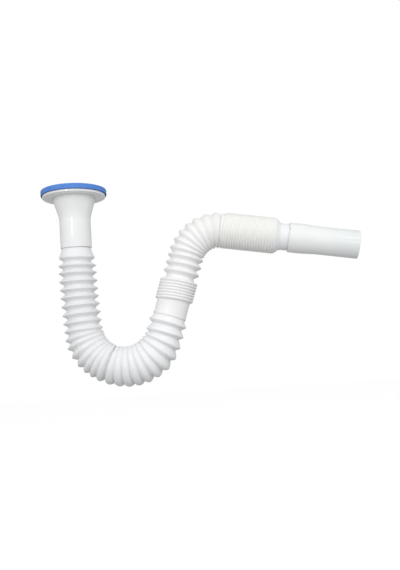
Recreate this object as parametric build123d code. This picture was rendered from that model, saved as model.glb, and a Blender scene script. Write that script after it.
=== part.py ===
from build123d import *
import os
from math import cos, pi, radians, sin

# Flexible waste hose: a flanged inlet funnel with a rubber gasket, two blow-moulded bellows
# joined end to end, and a plain outlet pipe. Millimetres, +Z up out of the inlet.
# The origin is the centre of the funnel's mouth, in the flange's top face under the gasket.
# The hose lies in the X-Z plane.

# Inlet flange and rubber gasket
FLANGE_OD = 73.6
FLANGE_EDGE_THICKNESS = 5.2
FLANGE_ROOT_THICKNESS = 7.6
FLANGE_EDGE_RADIUS = 1.2
GASKET_CLEARANCE = 0.1
GASKET_SKIRT_WALL = 1.4
GASKET_THICKNESS = 1.8
GASKET_SKIRT_DEPTH = 4.1
GASKET_BORE = 47.0
GASKET_EDGE_RADIUS = 0.6

# Inlet funnel: mouth, flare, throat and the socket that holds the lower bellows
MOUTH_BORE = 43.5
MOUTH_LAND = 8.0
MOUTH_WALL = 2.6
FUNNEL_HEIGHT = 66.4
FLARE_HEIGHT = 27.8
FLARE_TOP_LEAN = 1.2
FLARE_TOP_PULL = 11.0
FLARE_FOOT_PULL = 9.0
SOCKET_DEPTH = 22.0
SOCKET_WALL = 1.8
SOCKET_CLEARANCE = 0.1
SOCKET_END_GAP = 0.3

# Blow-moulded bellows: one wall, V folds between a root and a crest diameter
HOSE_WALL = 1.0
LOWER_CREST_OD = 44.4
LOWER_FIRST_CREST_OD = 41.2
TRAP_CREST_OD = 44.6
TRAP_CREST_LAND = 2.2
LOWER_ROOT_OD = 32.4
LOWER_END_OD = 35.0
LOWER_END_INSERT = 14.0
UPPER_CREST_OD = 41.6
MIDDLE_CREST_OD = 43.5
UPPER_ROOT_OD = 30.6

# Route of the centreline: straight runs and tangent arcs, from the inlet down
NECK_SHOWING = 6.3
LEG_LENGTH = 90.9
LEG_TURN = 4.9
TRAP_RADIUS = 48.1
TRAP_TURN = 156.0
RISE_LENGTH = 96.1
TOP_RADIUS = 38.1
TOP_TURN = 81.7

# Folds of the lower bellows
LEG_FOLDS = 10
LEG_PITCH = 9.4
TRAP_FOLDS = 16
TRAP_PITCH_GROWTH = 1.3
FOLDED_RISE = 19.5
RISE_FOLDS = 2
RISE_PITCH = 11.6
CUFF_GAP = 2.3

# Cuff and folds of the upper bellows
CUFF_LENGTH = 18.9
CUFF_WALL = 1.2
CUFF_CLEARANCE = 0.1
CUFF_BEAD = 0.3
CUFF_BEAD_LENGTH = 1.6
MIDDLE_RINGS = 7
MIDDLE_RING_PITCH = 3.38
MIDDLE_GROOVE = 1.4
MIDDLE_CONE_LENGTH = 1.8
MIDDLE_CONE_OD = 34.2
MIDDLE_GAP = 5.2
TOP_FOLDS = 10
STACK_RINGS = 20
STACK_RING_PITCH = 2.97
STACK_GROOVE = 1.0
STACK_NOTCH_OD = 34.4
SHOULDER_LENGTH = 6.4
SHOULDER_STEPS = 3
NECK_LENGTH = 5.5

# Outlet pipe with a belled socket over the upper bellows' neck
PIPE_OD = 32.0
PIPE_WALL = 2.2
PIPE_LENGTH = 84.5
BELL_DEPTH = 21.0
BELL_WALL = 1.6
BELL_TAPER = 14.0
BELL_CLEARANCE = 0.1
BELL_END_GAP = 0.3
BELL_MOUTH_RADIUS = 0.5

# The bore cutter reaches this far past both ends of a hose
CUT_PAST = 2.0

# Distances along the centreline from the flange's top face
leg_start = FUNNEL_HEIGHT + NECK_SHOWING
leg_folds_end = leg_start + LEG_FOLDS * LEG_PITCH
trap_start = leg_start + LEG_LENGTH
trap_length = TRAP_RADIUS * radians(TRAP_TURN)
rise_start = trap_start + trap_length
top_start = rise_start + RISE_LENGTH
top_length = TOP_RADIUS * radians(TOP_TURN)
top_end = top_start + top_length
lower_folds_end = rise_start + FOLDED_RISE
rise_folds_start = lower_folds_end - RISE_FOLDS * RISE_PITCH
cuff_rim = lower_folds_end + CUFF_GAP
cuff_top = cuff_rim + CUFF_LENGTH
middle_end = cuff_top + MIDDLE_RINGS * MIDDLE_RING_PITCH
top_folds_start = middle_end + MIDDLE_GAP
stack_end = top_end + STACK_RINGS * STACK_RING_PITCH
shoulder_end = stack_end + SHOULDER_LENGTH
pipe_start = shoulder_end + NECK_LENGTH
socket_stop = FUNNEL_HEIGHT - SOCKET_DEPTH

# Every run of the route: its length and its turn, in degrees, seen from the front
ROUTE = [
    (leg_start, 0),
    (LEG_LENGTH, LEG_TURN),
    (trap_length, TRAP_TURN),
    (RISE_LENGTH, 0),
    (top_length, -TOP_TURN),
]


def station(distance):
    """The point of the centreline at a distance, and its heading in degrees from +X."""
    x, z, heading = 0.0, 0.0, -90.0
    left = distance
    for length, turn in ROUTE:
        part = min(left, length)
        swept = turn * part / length
        if turn:
            radius = part / radians(swept) if swept else 0.0
            x += radius * (sin(radians(heading + swept)) - sin(radians(heading)))
            z -= radius * (cos(radians(heading + swept)) - cos(radians(heading)))
        else:
            x += part * cos(radians(heading))
            z += part * sin(radians(heading))
        heading += swept
        left -= part
        if left <= 0:
            return x, z, heading
    x += left * cos(radians(heading))
    z += left * sin(radians(heading))
    return x, z, heading


def across(distance):
    """The plane square to the centreline at a distance."""
    x, z, heading = station(distance)
    ahead = (cos(radians(heading)), 0, sin(radians(heading)))
    return Plane(origin=(x, 0, z), x_dir=(0, 1, 0), z_dir=ahead)


def folds(start, pitches, root, crest, land=0.0):
    """The crest and the far root of each fold, as pairs of distance and radius.

    A land blunts each crest: its tip is then that wide along the centreline.
    """
    stops = []
    for pitch in pitches:
        middle = start + pitch / 2
        stops.append((middle - land / 2, crest))
        if land:
            stops.append((middle + land / 2, crest))
        stops.append((start + pitch, root))
        start += pitch
    return stops


def graded(count, length, growth):
    """Pitches that add up to a length, the last one growth times the first."""
    shares = [1 + (growth - 1) * i / (count - 1) for i in range(count)]
    return [length * share / sum(shares) for share in shares]


def skin(stops):
    """A solid ruled from circle to circle along the centreline."""
    rings = [across(distance) * Circle(radius) for distance, radius in stops]
    return loft(rings, ruled=True)


def hose(outside, inside):
    """A moulded hose: the outer skin less a bore that runs out of both ends."""
    first, last = inside[0], inside[-1]
    bore = [(first[0] - CUT_PAST, first[1])] + inside + [(last[0] + CUT_PAST, last[1])]
    return skin(outside) - skin(bore)


def gasket_ring():
    """Blue rubber ring of L section that caps the flange and grips its edge."""
    skirt_bore = FLANGE_OD / 2 + GASKET_CLEARANCE
    outer = skirt_bore + GASKET_SKIRT_WALL
    outline = Polyline(
        (GASKET_BORE / 2, GASKET_THICKNESS),
        (outer, GASKET_THICKNESS),
        (outer, -GASKET_SKIRT_DEPTH),
        (skirt_bore, -GASKET_SKIRT_DEPTH),
        (skirt_bore, 0),
        (GASKET_BORE / 2, 0),
        close=True,
    )
    section = make_face(outline)
    rims = section.vertices().filter_by_position(Axis.X, outer - GASKET_SKIRT_WALL / 2, outer)
    section = fillet(rims, GASKET_EDGE_RADIUS)
    return revolve(Plane.XZ * section, Axis.Z)


def inlet_funnel():
    """Moulded flange, S-shaped flare and straight spigot with a socket for the lower bellows."""
    under = -FLANGE_ROOT_THICKNESS
    socket_bore = LOWER_ROOT_OD / 2 + SOCKET_CLEARANCE
    spigot = socket_bore + SOCKET_WALL
    throat = LOWER_ROOT_OD / 2 - HOSE_WALL
    mouth = MOUTH_BORE / 2
    flare_top = mouth + MOUTH_WALL
    flare_foot = under - FLARE_HEIGHT
    top = Line((mouth, 0), (FLANGE_OD / 2, 0))
    edge = Line(top @ 1, (FLANGE_OD / 2, -FLANGE_EDGE_THICKNESS))
    underside = Line(edge @ 1, (flare_top, under))
    flare = Bezier(
        underside @ 1,
        (flare_top - FLARE_TOP_LEAN, under - FLARE_TOP_PULL),
        (spigot, flare_foot + FLARE_FOOT_PULL),
        (spigot, flare_foot),
    )
    tube = Polyline(
        flare @ 1,
        (spigot, -FUNNEL_HEIGHT),
        (socket_bore, -FUNNEL_HEIGHT),
        (socket_bore, -socket_stop),
        (throat, -socket_stop),
        (throat, flare_foot),
    )
    inside = Bezier(
        tube @ 1,
        (throat, flare_foot + FLARE_FOOT_PULL),
        (mouth - FLARE_TOP_LEAN, -MOUTH_LAND - FLARE_TOP_PULL),
        (mouth, -MOUTH_LAND),
    )
    land = Line(inside @ 1, top @ 0)
    section = make_face([top, edge, underside, flare, tube, inside, land])
    rim = section.vertices().filter_by_position(Axis.X, FLANGE_OD / 2, FLANGE_OD / 2)
    section = fillet(rim.sort_by(Axis.Y)[0], FLANGE_EDGE_RADIUS)
    return revolve(Plane.XZ * section, Axis.Z)


def lower_bellows():
    """Lower bellows: plain neck, sharp leg folds, blunt trap and rise folds, plain end."""
    neck_start = socket_stop + SOCKET_END_GAP
    trap_pitches = graded(TRAP_FOLDS, rise_folds_start - leg_folds_end, TRAP_PITCH_GROWTH)

    def wall(inset):
        root = LOWER_ROOT_OD / 2 - inset
        crest = LOWER_CREST_OD / 2 - inset
        trap_crest = TRAP_CREST_OD / 2 - inset
        first_crest = LOWER_FIRST_CREST_OD / 2 - inset
        end = LOWER_END_OD / 2 - inset
        stops = [(neck_start, root), (leg_start, root)]
        stops += folds(leg_start, [LEG_PITCH], root, first_crest)
        stops += folds(leg_start + LEG_PITCH, [LEG_PITCH] * (LEG_FOLDS - 1), root, crest)
        stops += folds(leg_folds_end, trap_pitches, root, trap_crest, TRAP_CREST_LAND)
        rise_pitches = [RISE_PITCH] * RISE_FOLDS
        stops += folds(rise_folds_start, rise_pitches, root, trap_crest, TRAP_CREST_LAND)
        return stops + [(cuff_rim, end), (cuff_rim + LOWER_END_INSERT, end)]

    return hose(wall(0), wall(HOSE_WALL))


def shoulder(root, crest):
    """A quarter-round shoulder from the last ring's crest down to the neck."""
    swings = [pi / 2 * step / SHOULDER_STEPS for step in range(SHOULDER_STEPS + 1)]
    return [
        (stack_end + SHOULDER_LENGTH * sin(swing), root + (crest - root) * cos(swing))
        for swing in swings
    ]


def upper_bellows():
    """Upper bellows: beaded cuff, closed rings, open folds over the bend, closed stack, neck.

    The walls of closed rings lie together, so there the bore runs plain.
    """
    root = UPPER_ROOT_OD / 2
    crest = UPPER_CREST_OD / 2
    middle_crest = MIDDLE_CREST_OD / 2
    bore = root - HOSE_WALL
    bore_crest = crest - HOSE_WALL
    cuff_bore = LOWER_END_OD / 2 + CUFF_CLEARANCE
    cuff = cuff_bore + CUFF_WALL
    neck_end = pipe_start + BELL_DEPTH - BELL_END_GAP
    top_pitches = [(top_end - top_folds_start) / TOP_FOLDS] * TOP_FOLDS

    outside = [
        (cuff_rim, cuff + CUFF_BEAD),
        (cuff_rim + CUFF_BEAD_LENGTH, cuff + CUFF_BEAD),
        (cuff_rim + 2 * CUFF_BEAD_LENGTH, cuff),
        (cuff_top, cuff),
    ]
    middle_pitches = [MIDDLE_RING_PITCH] * MIDDLE_RINGS
    outside += folds(cuff_top, middle_pitches, middle_crest - MIDDLE_GROOVE, middle_crest)
    outside += [(middle_end + MIDDLE_CONE_LENGTH, MIDDLE_CONE_OD / 2), (top_folds_start, root)]
    outside += folds(top_folds_start, top_pitches, root, crest)
    outside[-1] = (top_end, STACK_NOTCH_OD / 2)
    outside += folds(top_end, [STACK_RING_PITCH] * STACK_RINGS, crest - STACK_GROOVE, crest)
    outside[-1:] = shoulder(root, crest)
    outside += [(neck_end, root)]

    inside = [
        (cuff_rim, cuff_bore),
        (cuff_top, cuff_bore),
        (cuff_top + HOSE_WALL, bore),
        (top_folds_start, bore),
    ]
    inside += folds(top_folds_start, top_pitches, bore, bore_crest)
    inside += [(stack_end - STACK_RING_PITCH / 2, bore)]
    inside += shoulder(bore, bore_crest)
    inside += [(neck_end, bore)]
    return hose(outside, inside)


def tail_pipe():
    """Plain outlet pipe, belled at its near end over the neck of the upper bellows."""
    bore = PIPE_OD / 2 - PIPE_WALL
    bell_bore = UPPER_ROOT_OD / 2 + BELL_CLEARANCE
    bell = bell_bore + BELL_WALL
    outline = Polyline(
        (bell_bore, 0),
        (bell, 0),
        (bell, BELL_DEPTH),
        (PIPE_OD / 2, BELL_DEPTH + BELL_TAPER),
        (PIPE_OD / 2, PIPE_LENGTH),
        (bore, PIPE_LENGTH),
        (bore, BELL_DEPTH),
        (bell_bore, BELL_DEPTH),
        close=True,
    )
    section = make_face(outline)
    mouth = section.vertices().filter_by_position(Axis.Y, 0, 0).sort_by(Axis.X)[-1]
    section = fillet(mouth, BELL_MOUTH_RADIUS)
    return across(pipe_start) * revolve(Plane.XZ * section, Axis.Z)


PIECES = {
    "gasket_ring": gasket_ring,
    "inlet_funnel": inlet_funnel,
    "lower_bellows": lower_bellows,
    "upper_bellows": upper_bellows,
    "tail_pipe": tail_pipe,
}

os.makedirs("parts", exist_ok=True)
for name, make in PIECES.items():
    export_step(make(), f"parts/{name}.step")
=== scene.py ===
import bpy
import numpy as np
from mathutils import Euler, Matrix, Vector


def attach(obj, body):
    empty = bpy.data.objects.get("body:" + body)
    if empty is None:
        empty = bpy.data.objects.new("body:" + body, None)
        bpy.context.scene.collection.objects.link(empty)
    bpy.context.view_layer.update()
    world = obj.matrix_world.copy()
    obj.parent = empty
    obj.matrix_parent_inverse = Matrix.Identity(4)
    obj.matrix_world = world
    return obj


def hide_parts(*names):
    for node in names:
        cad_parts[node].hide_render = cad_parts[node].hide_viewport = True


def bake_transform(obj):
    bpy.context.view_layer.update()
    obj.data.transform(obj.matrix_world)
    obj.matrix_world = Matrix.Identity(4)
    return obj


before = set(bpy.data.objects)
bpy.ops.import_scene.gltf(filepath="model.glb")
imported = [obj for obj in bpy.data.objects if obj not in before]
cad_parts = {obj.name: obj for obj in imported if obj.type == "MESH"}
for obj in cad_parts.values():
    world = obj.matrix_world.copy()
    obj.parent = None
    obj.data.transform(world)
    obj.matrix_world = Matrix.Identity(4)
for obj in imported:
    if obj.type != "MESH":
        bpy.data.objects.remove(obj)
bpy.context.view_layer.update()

# Sizes are in millimetres and are turned into metres when a mesh is made.
MM = 0.001

# Route of the hose's centreline from the flange's top face: the length of each run and its
# turn in degrees, counter-clockwise seen from the front. The last run is longer than needed.
FIRST_HEADING = -90.0
INLET_RUN = 72.7
LEG_RUN = 90.9
LEG_TURN = 4.9
TRAP_RADIUS = 48.1
TRAP_TURN = 156.0
RISE_RUN = 96.1
TOP_RADIUS = 38.1
TOP_TURN = 81.7
OUTLET_RUN = 1000.0
ROUTE = [
    (INLET_RUN, 0.0),
    (LEG_RUN, LEG_TURN),
    (TRAP_RADIUS * np.radians(TRAP_TURN), TRAP_TURN),
    (RISE_RUN, 0.0),
    (TOP_RADIUS * np.radians(TOP_TURN), -TOP_TURN),
    (OUTLET_RUN, 0.0),
]


def centreline(distance):
    """Points and headings of the centreline at an array of distances.

    Each run turns evenly, so the chord of the part passed is that part times sin(h)/h, where h
    is half the angle swept, and it points along the run's first heading plus h. A point is the
    sum of the chords of all the runs, and its heading the sum of their turns. The first run
    also reaches back, above the flange.
    """
    distance = np.asarray(distance, float)
    x, z = np.zeros_like(distance), np.zeros_like(distance)
    turned = np.full_like(distance, np.radians(FIRST_HEADING))
    start, heading = 0.0, np.radians(FIRST_HEADING)
    for length, turn in ROUTE:
        low = 0.0 if start else -np.inf
        part = np.clip(distance - start, low, length)
        swept = np.radians(turn) * part / length
        chord = part * np.sinc(swept / (2 * np.pi))
        x += chord * np.cos(heading + swept / 2)
        z += chord * np.sin(heading + swept / 2)
        turned += swept
        start += length
        heading += np.radians(turn)
    return x, z, turned


def spot(distance):
    """The centreline's point at a distance, in metres."""
    x, z, _ = centreline(np.array([distance]))
    return float(x[0]) * MM, 0.0, float(z[0]) * MM


def turns(around):
    """Angles round a ring in radians: 0 is on the left of the heading, a quarter turn is at the back."""
    return np.arange(around) * 2 * np.pi / around


# Wall of both hoses where their folds are open
HOSE_WALL = 1.0
# Folds that close up on the inside of a bend stay closed over most of the way round.
CLOSING_SPREAD = 0.6


def fold_run(crests, roots, crest, inside, outside, side, crest_round, root_round, samples, around):
    """Distances and radii along a run of folds, with a column of radii for each angle round.

    Each fold lies between two roots. With t the share of the way from its crest to the root on
    that side, the fold's height is (1 - t^n)^p: n over 1 rounds the crest, p over 1 rounds the
    root, and a V has n = p = 1. The depth of a root at angle a is a mean of its depths on the
    inside and outside of the bend, weighted w and 1 - w with w = ((1 + k cos a)/2)^q, where k
    is 1 when the inside is on the left of the heading and -1 when it is on the right, and q is
    CLOSING_SPREAD.
    """
    share = ((1 + side * np.cos(turns(around))) / 2) ** CLOSING_SPREAD
    root = np.interp(roots, crests, crest)[:, None]
    root = root - np.outer(inside, share) - np.outer(outside, 1 - share)
    step = np.arange(samples) / samples
    rising, falling = 1 - step[:, None], step[:, None]
    distance, radius = [], []
    for k in range(len(crests)):
        for way, start, end, foot in (
            (rising, roots[k], crests[k], root[k]),
            (falling, crests[k], roots[k + 1], root[k + 1]),
        ):
            height = (1 - way ** crest_round[k]) ** root_round[k]
            distance.append(start + (end - start) * step)
            radius.append(foot + (crest[k] - foot) * height)
    return np.append(np.concatenate(distance), roots[-1]), np.concatenate(radius + [root[-1:]])


def fold_roots(start, crests, end, lead=0.5):
    """Roots of a run of folds: each lies before its crest by a share of the step to the last one."""
    lead = np.broadcast_to(lead, len(crests))[1:]
    return np.concatenate([[start], crests[1:] - lead * np.diff(crests), [end]])


def fold_lining(crests, roots, crest, depth):
    """The folds' inner wall from end to start: straight from each crest to each root's depth."""
    deep = np.interp(roots, crests, crest) - depth
    distance = np.stack([roots[:-1], crests], -1).ravel()
    radius = np.stack([deep[:-1], crest], -1).ravel()
    return distance[::-1], radius[::-1] - HOSE_WALL


def swollen(folds, swell, side):
    """Folds with a swell, given along the distance, added to their radii.

    At angle a the share of the swell is (1 + k cos a)/2, so it is whole on one side of the hose
    and nothing on the other. Where k is 1, the whole is on the left of the heading.
    """
    distance, radius = folds
    share = (1 + side * np.cos(turns(radius.shape[1]))) / 2
    return distance, radius + np.outer(np.interp(distance, *swell), share)


def joined(around, *parts):
    """One closed profile out of parts: arrays of distances, each with radii or one column each."""
    distance = np.concatenate([np.asarray(part[0], float) for part in parts])
    radius = [np.asarray(part[1], float) for part in parts]
    radius = [r[:, None] + np.zeros(around) if r.ndim == 1 else r for r in radius]
    return distance, np.concatenate(radius)


def wall_mesh(name, distance, radius, lean=None, swing=None):
    """A closed wall: a loop of (distance, radius) points carried round the centreline.

    The point at angle a of profile point i is c(s) + r (n' cos a + y' sin a), where c is the
    centreline's point at distance s. With h its heading, n its left-hand normal and y the +Y
    axis, n' is n leaned towards h by one angle and y' is y swung towards h by another. Lean and
    swing are each given as distances and degrees. The loop runs so that its faces look out of
    the wall, and it closes on itself both ways.
    """
    distance = np.broadcast_to(distance.reshape(len(radius), -1), radius.shape)
    if np.sum((radius + np.roll(radius, -1, 0)) * (np.roll(distance, -1, 0) - distance)) > 0:
        distance, radius = distance[::-1], radius[::-1]
    angle = turns(radius.shape[1])
    x, z, heading = centreline(distance)
    lean = np.radians(np.interp(distance, *lean)) if lean else 0.0
    swing = np.radians(np.interp(distance, *swing)) if swing else 0.0
    left, back = radius * np.cos(angle), radius * np.sin(angle)
    ahead = left * np.sin(lean) + back * np.sin(swing)
    left, back = left * np.cos(lean), back * np.cos(swing)
    points = np.empty(radius.shape + (3,))
    points[..., 0] = x - left * np.sin(heading) + ahead * np.cos(heading)
    points[..., 1] = back
    points[..., 2] = z + left * np.cos(heading) + ahead * np.sin(heading)
    return grid_mesh(name, points * MM, distance)


def grid_mesh(name, points, distance):
    """A mesh of quads over a grid of points that closes both ways.

    Its UV map gives the distance along the hose and the share of the way round, and the last
    column carries on to 1 instead of jumping back.
    """
    rows, columns = points.shape[:2]
    i, j = np.meshgrid(np.arange(rows), np.arange(columns), indexing="ij")
    i_next, j_next = (i + 1) % rows, (j + 1) % columns
    corners = np.stack(
        [i * columns + j, i * columns + j_next, i_next * columns + j_next, i_next * columns + j], -1
    )
    u = distance[np.stack([i, i, i_next, i_next], -1), np.stack([j, j_next, j_next, j], -1)] * MM
    v = np.stack([j, j + 1, j + 1, j], -1) / columns
    faces = corners.reshape(-1, 4)
    mesh = bpy.data.meshes.new(name)
    mesh.vertices.add(rows * columns)
    mesh.vertices.foreach_set("co", points.astype(np.float32).ravel())
    mesh.loops.add(faces.size)
    mesh.loops.foreach_set("vertex_index", faces.astype(np.int32).ravel())
    mesh.polygons.add(len(faces))
    mesh.polygons.foreach_set("loop_start", np.arange(0, faces.size, 4, dtype=np.int32))
    mesh.polygons.foreach_set("use_smooth", np.ones(len(faces), bool))
    mesh.update(calc_edges=True)
    layer = mesh.uv_layers.new(name="hose_uv")
    layer.data.foreach_set("uv", np.stack([u, v], -1).astype(np.float32).ravel())
    piece = bpy.data.objects.new(name, mesh)
    bpy.context.scene.collection.objects.link(piece)
    return piece


# Points on each rounded corner, and the largest share of a side that a corner may take
ARC_POINTS = 5
LARGEST_CUT = 0.49


def rounded(corners, radius):
    """A closed profile with its corners rounded by quadratic arcs.

    Each corner P is cut back by its radius towards both neighbours, to A and B, and the arc is
    (1-t)^2 A + 2t(1-t) P + t^2 B.
    """
    corners = np.asarray(corners, float)
    cut = np.asarray(radius, float)[:, None]
    before, after = np.roll(corners, 1, 0) - corners, np.roll(corners, -1, 0) - corners
    a = corners + before * np.minimum(cut / np.linalg.norm(before, axis=1, keepdims=True), LARGEST_CUT)
    b = corners + after * np.minimum(cut / np.linalg.norm(after, axis=1, keepdims=True), LARGEST_CUT)
    t = np.linspace(0, 1, ARC_POINTS)[None, :, None]
    arc = (1 - t) ** 2 * a[:, None] + 2 * t * (1 - t) * corners[:, None] + t**2 * b[:, None]
    return arc.reshape(-1, 2)


def s_curve(start, start_pull, end_pull, end, steps):
    """A cubic from start to end with two inner control points.

    With t from 0 to 1 it is (1-t)^3 A + 3t(1-t)^2 B + 3t^2(1-t) C + t^3 D.
    """
    t = np.linspace(0, 1, steps)[:, None]
    a, b, c, d = (np.asarray(p, float) for p in (start, start_pull, end_pull, end))
    return (1 - t) ** 3 * a + 3 * t * (1 - t) ** 2 * b + 3 * t**2 * (1 - t) * c + t**3 * d


# Gasket: an L section over the flange's edge, with a thin lip at the foot of its skirt. Every
# profile here is given as (distance along the centreline, radius).
GASKET_AROUND = 192
GASKET_TOP = -1.8
GASKET_OPENING = 23.5
GASKET_RADIUS = 38.3
SKIRT_BORE = 36.9
SKIRT_FOOT = 4.7
LIP_START = 3.9
# Where the painted shade on the skirt's lip is full
LIP_PAINTED_SHADE = 4.5
gasket_profile = rounded(
    [
        (GASKET_TOP, GASKET_OPENING), (0.0, GASKET_OPENING), (0.0, SKIRT_BORE), (4.4, SKIRT_BORE),
        (SKIRT_FOOT, 37.9), (LIP_START, GASKET_RADIUS), (GASKET_TOP, GASKET_RADIUS),
    ],
    [0.35, 0.35, 0.2, 0.1, 0.3, 0.4, 1.0],
)
gasket = wall_mesh("gasket", *joined(GASKET_AROUND, gasket_profile.T))

# Funnel: flange with a shallow groove under it, S-shaped flare, spigot, socket and throat
FUNNEL_AROUND = 192
FLANGE_RADIUS = 36.8
FLANGE_EDGE = 7.0
FLANGE_UNDERSIDE = 7.4
MOUTH_RADIUS = 21.75
MOUTH_END = 8.0
FLARE_START = 6.7
FLARE_RADIUS = 24.4
FLARE_STEPS = 40
SPIGOT_START = 35.4
SPIGOT_PULL = 26.4
SPIGOT_END = 66.4
SPIGOT_RADIUS = 18.1
SOCKET_RADIUS = 16.3
SOCKET_STOP = 44.4
THROAT_RADIUS = 15.2
THROAT_STEPS = 30
# The last two corners only steer the rounding and are cut off again.
flange = rounded(
    [
        (0.0, MOUTH_RADIUS), (0.0, FLANGE_RADIUS), (FLANGE_EDGE, FLANGE_RADIUS), (FLANGE_UNDERSIDE, 33.6),
        (FLANGE_UNDERSIDE, 25.7), (FLARE_START, FLARE_RADIUS), (12.0, 24.1), (MOUTH_END, MOUTH_RADIUS),
    ],
    [0.4, 0.3, 0.9, 2.0, 0.3, 0.2, 0.0, 0.0],
)[:-2 * ARC_POINTS]
flare = s_curve(
    (8.1, 24.36), (17.4, 23.2), (SPIGOT_PULL, SPIGOT_RADIUS), (SPIGOT_START, SPIGOT_RADIUS), FLARE_STEPS
)
# The flare and the throat bring the first and last corner, so those are cut off.
spigot = rounded(
    [
        (SPIGOT_START, SPIGOT_RADIUS), (SPIGOT_END, SPIGOT_RADIUS), (SPIGOT_END, SOCKET_RADIUS),
        (SOCKET_STOP, SOCKET_RADIUS), (SOCKET_STOP, THROAT_RADIUS), (SPIGOT_START, THROAT_RADIUS),
    ],
    [0.0, 0.35, 0.2, 0.1, 0.2, 0.0],
)[ARC_POINTS:-ARC_POINTS]
throat = s_curve(
    (SPIGOT_START, THROAT_RADIUS), (SPIGOT_PULL, THROAT_RADIUS), (19.0, 20.55), (MOUTH_END, MOUTH_RADIUS),
    THROAT_STEPS,
)
# The front of the spigot's end hangs a little lower than its back.
funnel = wall_mesh(
    "funnel", *joined(FUNNEL_AROUND, flange.T, flare.T, spigot.T, throat.T),
    swing=([30.0, SPIGOT_END], [0.0, -3.5]),
)

# Lower bellows: neck, V folds of the leg, soft folds of the trap and rise, plain end. It was
# pulled out and bent by hand, so each crest has its own place and the folds' shape changes.
FOLD_SAMPLES = 7
LOWER_AROUND = 144
LOWER_START = 68.6
LOWER_END = 314.1
LOWER_TIP = 330.3
LOWER_CRESTS = np.array([
    78.3, 87.6, 96.0, 105.8, 115.3, 124.3, 134.0, 144.0, 153.5, 162.8,
    170.1, 176.6, 184.2, 192.3, 199.2, 205.3, 211.9, 220.1, 228.5, 236.6, 244.5, 252.5, 260.5,
    269.1, 278.8, 287.4, 296.8, 308.5,
])
lower_lead = np.interp(LOWER_CRESTS, [236, 260, 287], [0.5, 0.42, 0.32])
lower_roots = fold_roots(LOWER_START, LOWER_CRESTS, LOWER_END, lower_lead)
lower_crest = np.interp(
    LOWER_CRESTS, [77, 87, 105, 155, 185, 230, 270, 290, 309],
    [20.5, 21.8, 22.2, 22.3, 22.0, 22.5, 22.8, 22.0, 21.9],
)
# In the bend the folds close up on the inside, so there the roots are shallow.
LOWER_BEND = [75, 150, 163, 173, 205, 225, 255, 265, 280, 292, 305, LOWER_END]
lower_inside = np.interp(
    lower_roots, LOWER_BEND, [5.6, 5.8, 3.6, 0.8, 0.8, 1.1, 1.1, 1.2, 2.6, 4.4, 4.8, 3.4]
)
lower_outside = np.interp(
    lower_roots, LOWER_BEND, [5.6, 5.8, 5.8, 5.4, 4.8, 4.8, 4.8, 4.8, 4.8, 4.8, 4.8, 3.4]
)
FIRST_ROOT_RADIUS = 17.2
lower_inside[0] = lower_outside[0] = lower_crest[0] - FIRST_ROOT_RADIUS
# One root at the bottom of the trap is creased deeper than its neighbours.
CREASE = 17
CREASE_INSIDE = 4.5
CREASE_OUTSIDE = 2.6
lower_inside[CREASE] += CREASE_INSIDE
lower_outside[CREASE] += CREASE_OUTSIDE
FOLD_SHAPE = [150, 180, 205, 222, 240, 252, 270, 285, 309]
lower_crest_round = np.interp(
    LOWER_CRESTS, FOLD_SHAPE, [1.25, 1.2, 1.6, 2.2, 2.0, 1.6, 1.4, 1.4, 1.4]
)
lower_root_round = np.interp(
    LOWER_CRESTS, FOLD_SHAPE, [1.5, 1.2, 0.75, 0.5, 0.55, 0.75, 0.9, 1.15, 1.4]
)
lower_folds = fold_run(
    LOWER_CRESTS, lower_roots, lower_crest, lower_inside, lower_outside, 1,
    lower_crest_round, lower_root_round, FOLD_SAMPLES, LOWER_AROUND,
)
# Before and past its bottom the trap is a little wider on the outside of the bend.
WIDER = (
    [163.0, 177.0, 194.0, 208.0, 225.0, 240.0, 250.0, 272.0, 290.0],
    [0.0, 1.3, 1.5, 0.6, 0.3, 1.2, 2.0, 2.0, 0.0],
)
NECK_RADIUS = 16.2
NECK_END = 44.7
PLAIN_RADIUS = 17.5
PLAIN_BORE = 16.5
lower = wall_mesh(
    "lower_hose",
    *joined(
        LOWER_AROUND,
        ([NECK_END, 44.9, 62.0, 66.5, 66.9], [15.9, NECK_RADIUS, NECK_RADIUS, NECK_RADIUS, 17.0]),
        swollen(lower_folds, WIDER, -1),
        ([315.9, 316.5, 330.0, LOWER_TIP], [18.5, PLAIN_RADIUS, PLAIN_RADIUS, 17.2]),
        ([LOWER_TIP, 317.0, LOWER_END], [PLAIN_BORE, PLAIN_BORE, 15.8]),
        fold_lining(LOWER_CRESTS, lower_roots, lower_crest, lower_outside),
        ([NECK_END], [THROAT_RADIUS]),
    ),
    lean=([70.0, 120.0, 135.0, 165.0, 175.0], [1.6, 1.5, -0.2, -0.2, 0.0]),
    swing=(
        [30.0, SPIGOT_END, 90.0, 130.0, 170.0, 270.0, 290.0, 314.0, 318.0],
        [0.0, -3.5, -2.5, -1.8, 0.0, 0.0, -4.0, -4.0, -2.0],
    ),
)

# Upper bellows, first half: cuff, seven closed rings and the open folds over the bend
UPPER_AROUND = 144
UPPER_RADIUS = 20.8
UPPER_BORE = 14.3
CUFF_RIM = 316.4
CUFF_TOP = 335.3
CUFF_RADIUS = 18.8
CUFF_BORE = 17.6
BEAD_RADIUS = 19.1
MIDDLE_RINGS = 7
MIDDLE_PITCH = 3.38
MIDDLE_RADIUS = 21.75
MIDDLE_SAMPLES = 4
MIDDLE_GROOVE = 2.1
CUFF_GROOVE = 2.6
MIDDLE_ROUND = 2.2
middle_roots = CUFF_TOP + MIDDLE_PITCH * np.arange(MIDDLE_RINGS + 1)
middle_end = middle_roots[-1]
middle_crests = middle_roots[:-1] + MIDDLE_PITCH / 2
middle_depth = np.concatenate([[CUFF_GROOVE], np.full(MIDDLE_RINGS, MIDDLE_GROOVE)])
middle_round = np.full(MIDDLE_RINGS, MIDDLE_ROUND)
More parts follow.
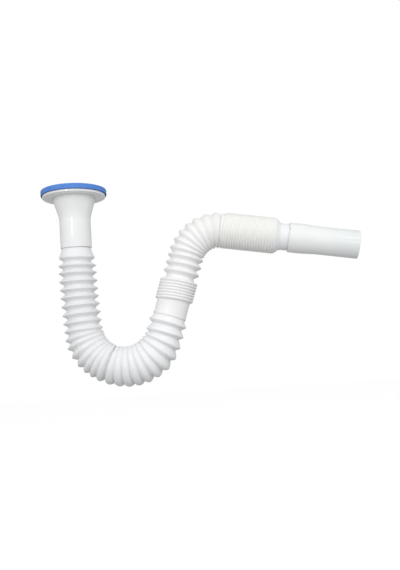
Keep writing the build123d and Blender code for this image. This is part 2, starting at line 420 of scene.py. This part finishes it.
middle_folds = fold_run(
    middle_crests, middle_roots, np.full(MIDDLE_RINGS, MIDDLE_RADIUS), middle_depth, middle_depth, 1,
    middle_round, 1 / middle_round, MIDDLE_SAMPLES, UPPER_AROUND,
)
UPPER_START = 364.1
STACK_START = 443.4
UPPER_CRESTS = np.array([368.8, 378.0, 386.8, 393.9, 400.4, 407.2, 414.3, 421.5, 430.5, 438.7])
UPPER_FOLDS = len(UPPER_CRESTS)
# Depths of the notch between the bend and the stack, on top and underneath
NOTCH_TOP = 4.2
NOTCH_FOOT = 2.0
upper_roots = fold_roots(UPPER_START, UPPER_CRESTS, STACK_START)
upper_crest = np.full(UPPER_FOLDS, UPPER_RADIUS)
UPPER_BEND = [364, 385, 397, 410, 425, 436, STACK_START]
upper_outside = np.interp(upper_roots, UPPER_BEND, [5.2, 5.0, 4.6, 3.8, 3.3, 3.6, NOTCH_TOP])
upper_inside = np.interp(upper_roots, UPPER_BEND, [5.2, 4.5, 1.5, 0.6, 1.2, 2.6, NOTCH_FOOT])
upper_crest_round = np.linspace(1.7, 1.05, UPPER_FOLDS)
upper_root_round = np.interp(UPPER_CRESTS, [369, 390, 421, 439], [1.6, 1.5, 1.0, 0.75])
upper_folds = fold_run(
    UPPER_CRESTS, upper_roots, upper_crest, upper_inside, upper_outside, -1,
    upper_crest_round, upper_root_round, FOLD_SAMPLES, UPPER_AROUND,
)
CUFF_TURNS = [316.0, 322.0, 336.0, 360.0, 372.0, 390.0, 405.0]
bend = wall_mesh(
    "bend_hose",
    *joined(
        UPPER_AROUND,
        (
            [CUFF_RIM, CUFF_RIM + 0.05, CUFF_RIM + 0.3, CUFF_RIM + 1.4, CUFF_RIM + 2.6, CUFF_TOP - 2.0],
            [CUFF_BORE, CUFF_RADIUS, BEAD_RADIUS, BEAD_RADIUS, CUFF_RADIUS, CUFF_RADIUS],
        ),
        middle_folds,
        ([middle_end + 0.9, middle_end + 2.7], [18.2, 16.2]),
        upper_folds,
        ([STACK_START], [UPPER_BORE]),
        fold_lining(UPPER_CRESTS, upper_roots, upper_crest, upper_outside),
        ([CUFF_TOP + 1.0, CUFF_TOP], [UPPER_BORE, CUFF_BORE]),
    ),
    lean=(CUFF_TURNS, [0.0, -1.0, -6.5, -4.7, -3.2, -2.8, 0.0]),
    swing=(CUFF_TURNS, [-2.0, -3.0, -3.0, -2.0, -1.0, 0.0, 0.0]),
)

# Upper bellows, second half: the long stack of closed rings, shoulder and neck
STACK_END = 504.4
STACK_RINGS = 20
STACK_SAMPLES = 5
FIRST_RING_END = 446.4
GROOVE_TOP = 0.25
GROOVE_FOOT = 1.25
STACK_ROUND = 1.8
SHOULDER_STEPS = 14
TAIL_NECK_END = 537.0
stack_roots = np.concatenate([[STACK_START], np.linspace(FIRST_RING_END, STACK_END, STACK_RINGS)])
stack_crests = (stack_roots[1:] + stack_roots[:-1]) / 2
# The rings close up more on top of the stack, so the grooves are shallow there.
stack_top = np.concatenate([[NOTCH_TOP], np.full(STACK_RINGS, GROOVE_TOP)])
stack_foot = np.concatenate([[NOTCH_FOOT], np.full(STACK_RINGS, GROOVE_FOOT)])
stack_round = np.full(STACK_RINGS, STACK_ROUND)
stack_folds = fold_run(
    stack_crests, stack_roots, np.full(STACK_RINGS, UPPER_RADIUS), stack_foot, stack_top, -1,
    stack_round, 1 / stack_round, STACK_SAMPLES, UPPER_AROUND,
)
# On top the first rings are smaller, so that they rise out of the notch.
RISING = ([STACK_START, 444.9, 448.5], [0.0, -1.8, 0.0])
shoulder = s_curve((504.9, 20.3), (506.0, 20.9), (509.4, 17.2), (511.4, 15.5), SHOULDER_STEPS)
stack = wall_mesh(
    "stack_hose",
    *joined(
        UPPER_AROUND,
        swollen(stack_folds, RISING, 1),
        shoulder.T,
        ([515.0, 520.4, 521.0, 536.8, TAIL_NECK_END], [15.3, 15.3, 14.9, 14.9, 14.7]),
        ([TAIL_NECK_END, 511.0, 505.0, STACK_START], [UPPER_BORE, UPPER_BORE, 16.0, UPPER_BORE]),
    ),
)

# Outlet pipe with its bell
PIPE_AROUND = 160
PIPE_START = 521.6
PIPE_END = 600.8
PIPE_RADIUS = 16.0
PIPE_BORE = 13.8
BELL_RADIUS = 17.0
BELL_BORE = 15.4
BELL_STOP = 537.3
BELL_END = 551.3
# Extra rings this far from the rims keep the rims' rounding off the straight walls' shading.
RIM = 1.2
pipe_profile = rounded(
    [
        (PIPE_START, BELL_BORE), (PIPE_START, BELL_RADIUS), (PIPE_START + RIM, BELL_RADIUS),
        (BELL_STOP, BELL_RADIUS), (BELL_END, PIPE_RADIUS), (PIPE_END - RIM, PIPE_RADIUS),
        (PIPE_END, PIPE_RADIUS), (PIPE_END, PIPE_BORE), (BELL_STOP, PIPE_BORE), (BELL_STOP, BELL_BORE),
    ],
    [0.25, 0.5, 0.1, 5.0, 5.0, 0.1, 0.3, 0.3, 0.2, 0.1],
)
pipe_distance, pipe_radius = joined(PIPE_AROUND, pipe_profile.T)
# The bell's rim has a shallow nick on its front, above the middle: a bell curve of the angle
# that fades out along the pipe.
NICK_ANGLE = np.radians(292.0)
NICK_DEPTH = 1.5
NICK_WIDTH = 0.1
NICK_REACH = 3.0
nick = NICK_DEPTH * np.exp(-(((turns(PIPE_AROUND) - NICK_ANGLE) / NICK_WIDTH) ** 2))
near_rim = np.clip((PIPE_START + NICK_REACH - pipe_distance) / NICK_REACH, 0, 1)
pipe = wall_mesh("outlet_pipe", pipe_distance[:, None] + np.outer(near_rim, nick), pipe_radius)


def linear(hex_colour):
    """Linear RGBA of an sRGB hex colour: c/12.92 when dark, else ((c + 0.055)/1.055)^2.4."""
    srgb = np.array([int(hex_colour[k:k + 2], 16) for k in (1, 3, 5)]) / 255
    rgb = np.where(srgb <= 0.04045, srgb / 12.92, ((srgb + 0.055) / 1.055) ** 2.4)
    return (*rgb.tolist(), 1.0)


def add(tree, kind, links=None, values=None, **settings):
    """Adds a node: settings on the node, values on its sockets, links from other sockets."""
    made = tree.nodes.new(kind)
    for key, value in settings.items():
        setattr(made, key, value)
    for key, value in (values or {}).items():
        made.inputs[key].default_value = value
    for key, source in (links or {}).items():
        tree.links.new(source, made.inputs[key])
    return made


# Places of a mix node's sockets when it mixes colours
MIX_SHARE = 0
MIX_FIRST = 6
MIX_SECOND = 7
MIX_RESULT = 2
COAT_ROUGHNESS = 0.07
BUMP_STRENGTH = 0.5


def plastic(name, light, dark, mottle_mm, rough, grain_mm, grain_depth_mm, ior, polish=0.0, along=()):
    """A moulded or extruded finish: two close tones in soft mottles, uneven gloss, fine grain.

    Stops of (distance in mm, colour) along the hose multiply the tone with painted light and shade.
    """
    material = bpy.data.materials.new(name)
    material.use_nodes = True
    tree = material.node_tree
    shader = tree.nodes["Principled BSDF"]
    shader.inputs["IOR"].default_value = ior
    shader.inputs["Coat Weight"].default_value = polish
    shader.inputs["Coat Roughness"].default_value = COAT_ROUGHNESS
    place = add(tree, "ShaderNodeTexCoord").outputs["Object"]
    mottle = add(tree, "ShaderNodeTexNoise", {"Vector": place},
                 {"Scale": 1 / (mottle_mm * MM), "Detail": 3.0}).outputs["Fac"]
    tone = add(tree, "ShaderNodeMix", {"Factor": mottle},
               {MIX_FIRST: linear(light), MIX_SECOND: linear(dark)}, data_type="RGBA")
    colour = tone.outputs[MIX_RESULT]
    # Painted light and shade along the hose, from the stops
    if along:
        reach = along[-1][0] * MM
        uv = add(tree, "ShaderNodeUVMap", uv_map="hose_uv").outputs["UV"]
        distance = add(tree, "ShaderNodeSeparateXYZ", {"Vector": uv}).outputs["X"]
        share = add(tree, "ShaderNodeMapRange", {"Value": distance}, {"From Max": reach})
        painted_light_ramp = add(tree, "ShaderNodeValToRGB", {"Fac": share.outputs["Result"]})
        stops = painted_light_ramp.color_ramp.elements
        for k, (stop, shade) in enumerate(along):
            element = stops[k] if k < len(stops) else stops.new(1.0)
            element.position = stop * MM / reach
            element.color = linear(shade)
        painted_light_mix = add(tree, "ShaderNodeMix", {MIX_FIRST: colour, MIX_SECOND: painted_light_ramp.outputs["Color"]},
                     {MIX_SHARE: 1.0}, data_type="RGBA", blend_type="MULTIPLY")
        colour = painted_light_mix.outputs[MIX_RESULT]
    tree.links.new(colour, shader.inputs["Base Color"])
    gloss = add(tree, "ShaderNodeMapRange", {"Value": mottle},
                {"From Min": 0.3, "From Max": 0.7, "To Min": rough[0], "To Max": rough[1]})
    tree.links.new(gloss.outputs["Result"], shader.inputs["Roughness"])
    grain = add(tree, "ShaderNodeTexNoise", {"Vector": place},
                {"Scale": 1 / (grain_mm * MM), "Detail": 2.0})
    bump = add(tree, "ShaderNodeBump", {"Height": grain.outputs["Fac"]},
               {"Strength": BUMP_STRENGTH, "Distance": grain_depth_mm * MM})
    tree.links.new(bump.outputs["Normal"], shader.inputs["Normal"])
    return material


# The real grain of all these skins is a tenth of a millimetre wide or less, too fine to show,
# so it is drawn about 2 mm wide and a few hundredths deep.

# Polypropylene from a polished mould: a hard, even white skin that shows a lamp as a sharp,
# bright streak.
moulded = plastic(
    "moulded_polypropylene", "#eff0f0", "#eaebec", mottle_mm=14, rough=(0.3, 0.4),
    grain_mm=2.4, grain_depth_mm=0.03, ior=1.49, polish=1.0,
)

# Polyethylene blown against a mould: a soft, waxy white without a sharp streak, with broad
# lights on the crests and slightly uneven gloss where the wall was stretched. Painted shade
# makes the leg and the trap a shade greyer than the rise.
BLOWN_SKIN = {"mottle_mm": 9, "rough": (0.36, 0.5), "grain_mm": 2.0, "grain_depth_mm": 0.04, "ior": 1.51}
blown = plastic(
    "blow_moulded_polyethylene", "#f4f5f6", "#eff0f2", **BLOWN_SKIN,
    along=((215, "#f5f5f5"), (290, "#fcfcfc")),
)

# The same plastic in the upper hose, without the lower one's bluish cast. Painted light and
# shade tint it along its length: white at the cuff, a little darker over the bend, and warmer
# over the closed rings than at the shoulder.
bright = plastic(
    "bright_blow_moulded_polyethylene", "#f3f3f3", "#eeeeee", **BLOWN_SKIN,
    along=((372, "#ffffff"), (410, "#fdfdfd"), (455, "#fafaf7"), (503, "#fafaf7"), (508, "#fbfcfe")),
)

# Polypropylene drawn through a die: a smooth, straight wall with long, clear lights. Painted
# shade makes it a little cooler and darker towards the free end.
extruded = plastic(
    "extruded_polypropylene", "#eef0ef", "#e9ebea", mottle_mm=20, rough=(0.26, 0.34),
    grain_mm=2.4, grain_depth_mm=0.02, ior=1.49, polish=0.5,
    along=((555, "#ffffff"), (600, "#f5f7f9")),
)

# Rubber moulded in blue: a dull satin that spreads the light, uneven in tone. Its lip under
# the skirt is darkened with painted shade.
rubber = plastic(
    "moulded_blue_rubber", "#5c8cd6", "#487aca", mottle_mm=6, rough=(0.5, 0.62),
    grain_mm=1.8, grain_depth_mm=0.08, ior=1.38,
    along=((LIP_START, "#ffffff"), (LIP_PAINTED_SHADE, "#4a5aa0")),
)

for piece, material, slot, node in (
    (gasket, rubber, "blue_rubber", "gasket_ring"),
    (funnel, moulded, "white_moulded", "inlet_funnel"),
    (lower, blown, "white_bellows", "lower_bellows"),
    (bend, bright, "white_bellows", "upper_bellows"),
    (stack, bright, "white_bellows", "upper_bellows"),
    (pipe, extruded, "white_pipe", "tail_pipe"),
):
    piece.data.materials.append(material)
    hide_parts(node)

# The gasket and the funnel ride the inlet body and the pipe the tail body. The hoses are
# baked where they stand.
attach(gasket, "inlet")
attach(funnel, "inlet")
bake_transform(lower)
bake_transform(bend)
spot(STACK_START)
spot(STACK_END)
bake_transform(stack)
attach(pipe, "tail")

# Floor of white paper: matt and evenly bright, and left out of what the plastic mirrors. From
# here on, sizes are in metres.
FLOOR_HEIGHT = -0.5
FLOOR_HALF = 4.0
corners = np.array([(-1, -1), (1, -1), (1, 1), (-1, 1)]) * FLOOR_HALF
floor_mesh = bpy.data.meshes.new("floor")
floor_mesh.from_pydata([(x, y, FLOOR_HEIGHT) for x, y in corners], [], [(0, 1, 2, 3)])
floor = bpy.data.objects.new("floor", floor_mesh)
bpy.context.scene.collection.objects.link(floor)
paper = bpy.data.materials.new("studio_paper")
paper.use_nodes = True
for socket, value in {
    "Base Color": linear("#f4f4f4"), "Roughness": 0.9,
    "Emission Color": linear("#ffffff"), "Emission Strength": 0.45,
}.items():
    paper.node_tree.nodes["Principled BSDF"].inputs[socket].default_value = value
floor.data.materials.append(paper)
floor.visible_diffuse = False
floor.visible_glossy = False

# Light tent: a little brighter from above for the plastic, plain white for the camera
world = bpy.data.worlds.new("studio")
bpy.context.scene.world = world
world.use_nodes = True
sky = world.node_tree
sky.nodes.clear()
direction = add(sky, "ShaderNodeTexCoord")
height = add(sky, "ShaderNodeSeparateXYZ", {"Vector": direction.outputs["Generated"]})
strength = add(sky, "ShaderNodeMapRange", {"Value": height.outputs["Z"]},
               {"From Min": -0.6, "From Max": 0.7, "To Min": 0.45, "To Max": 0.6})
tent = add(sky, "ShaderNodeBackground", {"Strength": strength.outputs["Result"]},
           {"Color": linear("#ffffff")})
white = add(sky, "ShaderNodeBackground", values={"Color": linear("#ffffff"), "Strength": 1.0})
path = add(sky, "ShaderNodeLightPath")
both = add(sky, "ShaderNodeMixShader",
           {0: path.outputs["Is Camera Ray"], 1: tent.outputs[0], 2: white.outputs[0]})
add(sky, "ShaderNodeOutputWorld", {"Surface": both.outputs[0]})


def softbox(name, place, aim, width, height, watts, mirrored=True):
    """An area light at a place, facing a point; glossy faces needn't mirror it."""
    light = bpy.data.lights.new(name, "AREA")
    light.shape = "RECTANGLE"
    light.size = width
    light.size_y = height
    light.energy = watts
    lamp = bpy.data.objects.new(name, light)
    bpy.context.scene.collection.objects.link(lamp)
    lamp.location = place
    lamp.rotation_euler = (Vector(place) - Vector(aim)).to_track_quat("Z", "Y").to_euler()
    lamp.visible_camera = False
    lamp.visible_glossy = mirrored


# Large softboxes shape the hose, two small windows give the streak on the funnel, and two
# small panes the streak at the pipe's end.
MIDDLE = (0.14, 0, -0.1)
BOX = 0.9
softbox("left", (-0.7, -0.7, 0.6), MIDDLE, BOX, BOX, 1.9)
softbox("front", (0.1, -1.2, 0.1), MIDDLE, BOX, BOX, 5.8, False)
softbox("right", (1.0, -0.7, 0.5), MIDDLE, BOX, BOX, 3.6, False)
softbox("back", (0.1, 1.2, 0.5), MIDDLE, BOX, BOX, 2.5, False)
FUNNEL_MIDDLE = (0, 0, -0.05)
softbox("window_upper", (-0.172, -0.883, 0.125), FUNNEL_MIDDLE, 0.05, 0.05, 0.3)
softbox("window_lower", (-0.172, -0.883, 0.06), FUNNEL_MIDDLE, 0.05, 0.03, 0.2)
PIPE_TIP = (0.32, 0, -0.09)
softbox("pane_upper", (0.52, -0.6, 0.42), PIPE_TIP, 0.06, 0.07, 0.07)
softbox("pane_lower", (0.45, -0.8, -0.02), PIPE_TIP, 0.03, 0.03, 0.02)

# Camera: its place, its turns about X, Y and Z in degrees, and its focal length in pixels
CAMERA_PLACE = (0.19068, -0.73056, -0.19475)
CAMERA_TURNS = (95.788, 3.919, 4.21)
PHOTO_HEIGHT_PX = 570
LENS_PX = 640.0
lens = bpy.data.cameras.new("camera")
lens.lens = LENS_PX / PHOTO_HEIGHT_PX * lens.sensor_width
camera = bpy.data.objects.new("camera", lens)
bpy.context.scene.collection.objects.link(camera)
camera_turn = Euler(np.radians(CAMERA_TURNS)).to_matrix().to_4x4()
camera.matrix_world = Matrix.Translation(CAMERA_PLACE) @ camera_turn
bpy.context.scene.camera = camera
bpy.context.scene.view_settings.view_transform = "Standard"
